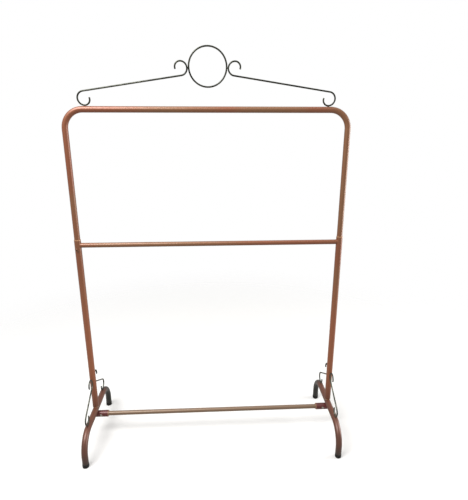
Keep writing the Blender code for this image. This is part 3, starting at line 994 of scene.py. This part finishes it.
@dataclass
class Upright:
    """One upright with the screw that clamps the hoop in it, and its hidden spigot."""

    side: Side
    body: Body
    rim: float = 0.3 * MM

    def build(self, frame: dict) -> None:
        """Make the upright's pieces.
        """
        word = self.side.word
        low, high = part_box(f"upright_{word}")
        start = Vector(((low.x + high.x) / 2, 0, low.z))
        end = Vector((start.x, 0, high.z))
        outward = Vector((0, self.side.value, 0))
        sweep = Sweep(start, Vector((0, 0, 1)), (FRAME_TUBE_RADIUS, FRAME_BORE_RADIUS), TUBE_SIDES)
        sweep.run_whole((end - start).length)
        lock = Vector((start.x, 0, middle_of(f"lock_screw_{word}").z))
        hole = prism(SCREW_HOLE_RADIUS, lock, lock + outward * 2 * FRAME_TUBE_RADIUS)
        shape = carved(sweep.open_tube(self.rim), [hole])
        lay_straight(shape, start, end)
        add_piece(shape, f"upright_tube_{word}", Body.FRAME, TUBE_LACQUER, [f"upright_{word}"])
        Screw(f"lock_screw_{word}", f"clamp_screw_{word}", self.body, outward, SCREW_LACQUER).build()
        dress_node(frame, f"upright_spigot_{word}", ZINC_STEEL)


@dataclass
class Hoop:
    """The hoop of thinner tube that slides in the uprights, with the glides in its ends."""

    bend_radius: float = 68 * MM

    def build(self, frame: dict) -> None:
        """Make the hoop's tube and dress its glides.
        """
        low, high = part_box("hoop")
        half = (high.x - low.x) / 2 - HOOP_TUBE_RADIUS
        level = high.z - HOOP_TUBE_RADIUS
        knee = level - self.bend_radius
        inner = half - self.bend_radius
        axis = Vector((0, 1, 0))
        sweep = Sweep(Vector((-half, 0, low.z)), Vector((0, 0, 1)), (HOOP_TUBE_RADIUS, HOOP_BORE_RADIUS),
                      TUBE_SIDES)
        sweep.run(TUBE_END_RUN).run(knee - low.z - TUBE_END_RUN)
        sweep.bend(Vector((-inner, 0, knee)), axis, math.pi / 2, self.bend_radius)
        sweep.run(2 * inner).bend(Vector((inner, 0, knee)), axis, math.pi / 2, self.bend_radius)
        sweep.run(knee - low.z - TUBE_END_RUN).run(TUBE_END_RUN)
        add_piece(sweep.open_tube(TUBE_RIM), "hoop_tube", Body.HOOP, TUBE_LACQUER, ["hoop"])
        for side in Side:
            dress_node(frame, f"leg_glide_{side.word}", NYLON)


@dataclass
class MiddleRail:
    """The middle rail, coped to the uprights, with a bead of weld round each end."""

    rim: float = 0.1 * MM
    bead_radius: float = 1.5 * MM
    bead_sides: int = 12
    bead_height: float = 0.8          # its height over its width, as a bead flows flat
    bead_ripples: int = 22
    steps_per_ripple: int = 6
    ripple_depth: float = 0.18 * MM

    def build(self, frame: dict) -> None:
        """Make the rail and its beads, and dress its pegs.
        """
        level = middle_of("middle_rail").z
        half = abs(middle_of("upright_left").x)
        start, end = Vector((-half, 0, level)), Vector((half, 0, level))
        sweep = Sweep(start, Vector((1, 0, 0)), (RAIL_TUBE_RADIUS, RAIL_BORE_RADIUS), TUBE_SIDES)
        sweep.run_whole(2 * half, 2 * TUBE_END_RUN)
        for loop in sweep.first_loops + sweep.loops:
            for vert in loop:
                vert.co.x = math.copysign(half - self.cope(vert.co.y), vert.co.x)
        shape = sweep.open_tube(self.rim)
        lay_straight(shape, start, end)
        add_piece(shape, "middle_rail_tube", Body.FRAME, TUBE_LACQUER, ["middle_rail"])
        for side in Side:
            self.build_bead(side, half, level)
            dress_node(frame, f"rail_peg_{side.word}", ZINC_STEEL)

    @staticmethod
    def cope(y: float) -> float:
        """How far the upright's surface stands from its axis at this distance to the side."""
        return math.sqrt((FRAME_TUBE_RADIUS + COPE_GAP) ** 2 - y ** 2)

    def build_bead(self, side: Side, half: float, level: float) -> None:
        """Lay the bead of weld round one end, rippled, and pressed to the upright's curve.

        Args:
            side: Which end.
            half: The distance of the upright's axis from the middle.
            level: The height of the rail's axis.
        """
        shape = bmesh.new()
        section = bmesh.ops.create_circle(shape, segments=self.bead_sides, radius=self.bead_radius)["verts"]
        bmesh.ops.rotate(shape, verts=section, cent=(0, 0, 0), matrix=Matrix.Rotation(math.pi / 2, 3, "X"))
        bmesh.ops.translate(shape, verts=section, vec=(0, 0, RAIL_TUBE_RADIUS))
        spin_round(shape, section + edges_between(section), Vector(), Vector((1, 0, 0)),
                   self.steps_per_ripple * self.bead_ripples)
        for vert in shape.verts:
            turn = math.atan2(vert.co.y, vert.co.z)
            spread = vert.co.yz.length - RAIL_TUBE_RADIUS
            ripple = 1 + self.ripple_depth / self.bead_radius * math.sin(self.bead_ripples * turn)
            around = RAIL_TUBE_RADIUS + spread * ripple
            vert.co = (vert.co.x * ripple, around * math.sin(turn), around * math.cos(turn))
            vert.co.x = side.value * (half - self.cope(vert.co.y) - vert.co.x * self.bead_height)
            vert.co.z += level
        end = Vector((side.value * half, 0, level))
        lay_straight(shape, end - Vector((1, 0, 0)), end + Vector((1, 0, 0)))
        add_piece(shape, f"middle_rail_weld_{side.word}", Body.FRAME, TUBE_LACQUER)


@dataclass
class BottomRail:
    """The bottom rail, its two sockets and the screw through each."""

    socket_wall: float = 4.2 * MM
    bore_end: float = 6 * MM
    mouth_chamfer: float = 0.9 * MM
    tail_edge: float = 2.2 * MM
    spotface_depth: float = 1.2 * MM

    def build(self, frame: dict) -> None:
        """Make the rail, the sockets and the screws, and dress the inserts.
        """
        low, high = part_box("bottom_rail")
        level = (low.z + high.z) / 2
        start, end = Vector((low.x, 0, level)), Vector((high.x, 0, level))
        sweep = Sweep(start, Vector((1, 0, 0)), (RAIL_TUBE_RADIUS, RAIL_BORE_RADIUS), TUBE_SIDES)
        sweep.run_whole(high.x - low.x)
        add_piece(sweep.open_tube(TUBE_RIM), "bottom_rail_tube", Body.FRAME, RAIL_LACQUER, ["bottom_rail"])
        for side in Side:
            self.build_socket(side, level)
            Screw(f"rail_screw_{side.word}", f"socket_screw_{side.word}", Body.FRAME,
                  Vector((0, -1, 0)), ZINC_STEEL).build()
            dress_node(frame, f"rail_insert_{side.word}", ZINC_STEEL)

    def build_socket(self, side: Side, level: float) -> None:
        """Turn one socket, bore it, and spot-face it for the screw's head.

        Args:
            side: Which socket.
            level: The height of the rail's axis.
        """
        node = f"rail_socket_{side.word}"
        low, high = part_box(node)
        tail, mouth = (low.x, high.x) if side is Side.LEFT else (high.x, low.x)
        length = high.x - low.x
        bore = RAIL_TUBE_RADIUS + TOUCH_GAP
        radius = bore + self.socket_wall
        axis_x = middle_of(f"upright_{side.word}").x
        bore_floor = abs(tail - axis_x) - self.bore_end
        chamfer = self.mouth_chamfer
        profile = [(0, bore_floor), (bore, bore_floor), (bore, length - chamfer / 2),
                   (bore + chamfer / 2, length)]
        profile += rounded(radius, length, chamfer, 90)
        profile += [(radius, length - TUBE_END_RUN), (radius, TUBE_END_RUN)]
        profile += rounded(radius, 0, self.tail_edge, 0, 6)
        profile += [(0, 0)]
        shape = turned(profile)
        place = Matrix.Translation((tail, 0, level)) @ facing(Vector((mouth - tail, 0, 0)).normalized())
        bmesh.ops.transform(shape, matrix=place, verts=shape.verts)
        screw = Vector((middle_of(f"rail_screw_{side.word}").x, 0, level))
        forward = Vector((0, -1, 0))
        spotface = prism(SCREW_HEAD_RADIUS + TOUCH_GAP, screw + forward * (radius - self.spotface_depth),
                         screw + forward * 2 * radius)
        hole = prism(SCREW_HOLE_RADIUS, screw, screw + forward * 2 * radius)
        shape = carved(shape, [spotface, hole])
        lay_straight(shape, Vector((tail, 0, level)), Vector((mouth, 0, level)))
        add_piece(shape, f"socket_{side.word}", Body.FRAME, SOCKET_LACQUER, [node])


@dataclass
class ScrollWire:
    """An S-shaped wire: an upper curl, a straight run and a lower curl, each with a tighter tip.

    It is drawn in a plane, outward along X and up along Z, and then set in its place.
    """

    upper: Vector
    lower: Vector
    dome: float = 1.4 * MM

    def shape(self, place: Matrix) -> bmesh.types.BMesh:
        """Draw the wire.

        Args:
            place: What takes the drawing's plane to the wire's place.

        Returns:
            The wire's shape.
        """
        across = self.lower - self.upper
        slope = math.atan2(across.y, across.x) + math.asin(2 * CURL_RADIUS / across.length)
        knee, foot = -1.5 * math.pi, -0.5 * math.pi
        upper_tip = self.step_aside(self.upper, knee)
        lower_tip = self.step_aside(self.lower, foot)
        start = knee - CURL_TIP_TURN
        begin = upper_tip + CURL_TIP_RADIUS * self.direction(start)
        heading = self.direction(start + math.pi / 2)
        run = math.sqrt(across.length_squared - (2 * CURL_RADIUS) ** 2)
        sweep = Sweep(self.raised(begin), self.raised(heading), (WIRE_RADIUS,), WIRE_SIDES)
        self.curve(sweep, upper_tip, CURL_TIP_TURN, CURL_TIP_RADIUS)
        self.curve(sweep, self.upper, slope - math.pi / 2 - knee, CURL_RADIUS)
        sweep.run(run)
        self.curve(sweep, self.lower, foot - (slope + math.pi / 2), CURL_RADIUS)
        self.curve(sweep, lower_tip, -CURL_TIP_TURN, CURL_TIP_RADIUS)
        shape = sweep.domed_wire(self.dome)
        bmesh.ops.transform(shape, matrix=place, verts=shape.verts)
        return shape

    @staticmethod
    def direction(angle: float) -> Vector:
        """The unit vector at an angle from the outward axis."""
        return Vector((math.cos(angle), math.sin(angle)))

    @staticmethod
    def raised(flat: Vector) -> Vector:
        """A point of the drawing's plane, in space."""
        return Vector((flat.x, 0, flat.y))

    def step_aside(self, centre: Vector, knee: float) -> Vector:
        """The centre of a curl's tighter tip, from the curl's centre and the angle where the tip starts."""
        return centre + self.direction(knee) * (CURL_RADIUS - CURL_TIP_RADIUS)

    def curve(self, sweep: Sweep, centre: Vector, angle: float, radius: float) -> None:
        """Draw the sweep round a centre of the plane, anticlockwise for a positive angle."""
        sweep.bend(self.raised(centre), Vector((0, -1, 0)), angle, radius)


@dataclass
class WeldDabs:
    """Dabs of braze where two wires, or a wire and a tube, touch."""

    name: str
    body: Body
    places: list[Vector]
    size: Vector
    roughness: float = 0.10
    around: int = 20
    layers: int = 12

    def build(self) -> None:
        """Make the dabs as one piece."""
        shape = bmesh.new()
        for number, place in enumerate(self.places):
            dab = bmesh.ops.create_uvsphere(
                shape, u_segments=self.around, v_segments=self.layers, radius=1.0)["verts"]
            for vert in dab:
                wobble = math.sin(5 * vert.co.x + number) * math.sin(4 * vert.co.y + 2 * number)
                vert.co *= 1 + self.roughness * wobble
            bmesh.ops.scale(shape, verts=dab, vec=self.size)
            bmesh.ops.translate(shape, verts=dab, vec=place)
        add_piece(shape, self.name, self.body, NICKEL_WIRE)


@dataclass
class Ornament:
    """The ring above the top rail, with a long scroll on each side of it."""

    curl_drop: float = 5.5 * MM

    def build(self) -> None:
        """Make the ring, the scrolls and the dabs that hold them."""
        low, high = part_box("ornament_ring")
        centre = (low + high) / 2
        ring_radius = (high.z - low.z) / 2 - WIRE_RADIUS
        shape = bmesh.new()
        section = bmesh.ops.create_circle(shape, segments=WIRE_SIDES, radius=WIRE_RADIUS)["verts"]
        bmesh.ops.translate(shape, verts=section, vec=centre + Vector((ring_radius, 0, 0)))
        spin_round(shape, section + edges_between(section), centre, Vector((0, 1, 0)), RING_STEPS)
        add_piece(shape, "ring_wire", Body.HOOP, NICKEL_WIRE, ["ornament_ring"])

        to_ring = ring_radius + CURL_RADIUS + 2 * WIRE_RADIUS + TOUCH_GAP
        upper = Vector((math.sqrt(to_ring ** 2 - self.curl_drop ** 2), centre.z - self.curl_drop))
        scroll_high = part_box("ornament_scroll_right")[1]
        rail_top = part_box("hoop")[1].z
        outer = Vector((scroll_high.x - WIRE_RADIUS - CURL_RADIUS,
                        rail_top + TOUCH_GAP + WIRE_RADIUS + CURL_RADIUS))
        contacts = []
        for side in Side:
            wire = ScrollWire(upper, outer)
            place = Matrix.Diagonal((side.value, 1, 1, 1))
            node = f"ornament_scroll_{side.word}"
            add_piece(wire.shape(place), f"scroll_wire_{side.word}", Body.HOOP, NICKEL_WIRE, [node])
            towards = Vector((upper.x, 0, upper.y - centre.z)).normalized()
            touch = centre + towards * (ring_radius + WIRE_RADIUS + TOUCH_GAP / 2)
            contacts += [Vector((side.value * touch.x, 0, touch.z)),
                         Vector((side.value * outer.x, 0, rail_top + DAB_LIFT))]
        WeldDabs("ornament_dabs", Body.HOOP, contacts, ORNAMENT_DAB).build()


@dataclass
class Braces:
    """The front and the rear scroll brace of one side frame."""

    side: Side
    curl_height: float = 268 * MM
    reach: float = 122 * MM

    def build(self) -> None:
        """Make the two braces and the dabs that hold them."""
        foot_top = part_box(f"foot_tube_{self.side.word}")[1].z
        across = middle_of(f"upright_{self.side.word}").x
        upper = Vector((FRAME_TUBE_RADIUS + TOUCH_GAP + WIRE_RADIUS + CURL_RADIUS, self.curl_height))
        lower = Vector((self.reach, foot_top + TOUCH_GAP + WIRE_RADIUS + CURL_RADIUS))
        contacts = []
        for end in End:
            place = Matrix(((0, 1, 0, across), (end.value, 0, 0, 0), (0, 0, 1, 0), (0, 0, 0, 1)))
            name = f"{end.word}_{self.side.word}"
            add_piece(ScrollWire(upper, lower).shape(place), f"brace_wire_{name}", Body.FRAME, BRACE_WIRE,
                      [f"brace_{name}"])
            contacts += [Vector((across, end.value * (FRAME_TUBE_RADIUS + DAB_LIFT), self.curl_height)),
                         Vector((across, end.value * self.reach, foot_top + DAB_LIFT))]
        WeldDabs(f"brace_dabs_{self.side.word}", Body.FRAME, contacts, BRACE_DAB).build()


# ---- Stage --------------------------------------------------------------------------------------------
@dataclass
class Studio:
    """A plain pale floor, soft light from above and in front, and the camera."""

    eye: Vector
    pitch: float = math.radians(16.46)
    yaw: float = math.radians(2.98)
    lens: float = 29.63
    floor_size: float = 12.0
    floor_roughness: float = 0.9
    floor_specular: float = 0.1
    floor_emission: float = 0.15
    floor_white: str = "#f4f3f1"
    floor_glow: str = "#8c8884"                    # what the floor throws back, so that undersides stay dark
    floor_fade: Span = (0.9, 2.3)                  # the floor fades into the surround between these radii
    surround_light: float = 0.42

    def build(self) -> None:
        """Set up the floor, the light and the camera."""
        self.build_floor()
        self.build_light()
        self.build_camera()

    def build_floor(self) -> None:
        """Lay the floor, a matt white sheet that runs out of sight."""
        shape = bmesh.new()
        bmesh.ops.create_grid(shape, x_segments=2, y_segments=2, size=self.floor_size / 2)
        floor = plain_object(shape, "floor")
        paint = bpy.data.materials.new("matt_white_floor_paint")
        paint.use_nodes = True
        tree = paint.node_tree
        shader = tree.nodes["Principled BSDF"]
        shader.inputs["Roughness"].default_value = self.floor_roughness
        shader.inputs["Specular IOR Level"].default_value = self.floor_specular
        shader.inputs["Emission Color"].default_value = linear(self.floor_white)
        shader.inputs["Emission Strength"].default_value = self.floor_emission
        path = add_node(tree, "ShaderNodeLightPath")
        tint = add_node(tree, "ShaderNodeMix", {0: path.outputs["Is Camera Ray"], 6: linear(self.floor_glow),
                                                7: linear(self.floor_white)}, data_type="RGBA")
        tree.links.new(tint.outputs[2], shader.inputs["Base Color"])
        place = add_node(tree, "ShaderNodeTexCoord").outputs["Object"]
        distance = add_node(tree, "ShaderNodeVectorMath", {0: place}, operation="LENGTH")
        share = add_node(tree, "ShaderNodeMapRange", {
            0: distance.outputs["Value"], 1: self.floor_fade[0], 2: self.floor_fade[1]},
            interpolation_type="SMOOTHSTEP")
        gone = add_node(tree, "ShaderNodeBsdfTransparent")
        both = add_node(tree, "ShaderNodeMixShader", {
            0: share.outputs[0], 1: shader.outputs[0], 2: gone.outputs[0]})
        tree.links.new(both.outputs[0], tree.nodes["Material Output"].inputs["Surface"])
        floor.data.materials.append(paint)

    def build_light(self) -> None:
        """Hang the softboxes, and fill in with a pale surround."""
        self.add_softbox("overhead_left", Vector((-1.2, -1.1, 2.9)), Vector((-0.5, 0, 0.8)), (1.5, 1.3), 60)
        self.add_softbox("window_right", Vector((3.2, 0.1, 1.1)), Vector((0, 0, 0.9)), (1.5, 2.2), 58)
        self.add_softbox("ceiling", Vector((0, 0, 3.8)), Vector((0, 0, 0)), (4.0, 4.0), 34)
        world = bpy.data.worlds.new("studio")
        world.use_nodes = True
        bpy.context.scene.world = world
        tree = world.node_tree
        surround = tree.nodes["Background"]
        surround.inputs["Color"].default_value = linear("#ffffff")
        surround.inputs["Strength"].default_value = self.surround_light
        seen = add_node(tree, "ShaderNodeBackground", {"Color": linear("#ffffff"), "Strength": 1.0})
        path = add_node(tree, "ShaderNodeLightPath")
        both = add_node(tree, "ShaderNodeMixShader", {
            0: path.outputs["Is Camera Ray"], 1: surround.outputs[0], 2: seen.outputs[0]})
        tree.links.new(both.outputs[0], tree.nodes["World Output"].inputs["Surface"])
        bpy.context.scene.view_settings.view_transform = "Standard"

    @staticmethod
    def add_softbox(name: str, place: Vector, target: Vector, size: Span, power: float) -> None:
        """Hang one softbox.

        Args:
            name: Its name.
            place: Where it hangs.
            target: What it faces.
            size: Its width and height.
            power: In watts.
        """
        lamp = bpy.data.lights.new(name, "AREA")
        lamp.shape = "RECTANGLE"
        lamp.size, lamp.size_y = size
        lamp.energy = power
        holder = bpy.data.objects.new(name, lamp)
        holder.location = place
        holder.rotation_euler = (target - place).to_track_quat("-Z", "Y").to_euler()
        bpy.context.scene.collection.objects.link(holder)

    def build_camera(self) -> None:
        """Stand the camera in front of the rack, a little above its middle, looking slightly down."""
        lens = bpy.data.cameras.new("camera")
        lens.lens = self.lens
        lens.sensor_width = 36.0
        camera = bpy.data.objects.new("camera", lens)
        level = math.cos(self.pitch)
        forward = Vector((math.sin(self.yaw) * level, math.cos(self.yaw) * level, -math.sin(self.pitch)))
        camera.location = self.eye
        camera.rotation_euler = forward.to_track_quat("-Z", "Y").to_euler()
        bpy.context.scene.collection.objects.link(camera)
        bpy.context.scene.camera = camera


def main() -> None:
    """Build the studio and every piece of the rack."""
    logging.basicConfig(level=logging.INFO, format="%(name)s %(message)s")
    for thing in list(bpy.data.objects):
        bpy.data.objects.remove(thing)
    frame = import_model()
    Studio(eye=Vector((0.011, -1.5844, 1.3203))).build()
    for side, lock in ((Side.LEFT, Body.LOCK_LEFT), (Side.RIGHT, Body.LOCK_RIGHT)):
        Foot(side).build()
        Upright(side, lock).build(frame)
        Braces(side).build()
    MiddleRail().build(frame)
    BottomRail().build(frame)
    Hoop().build(frame)
    Ornament().build()


if __name__ == "__main__":
    main()
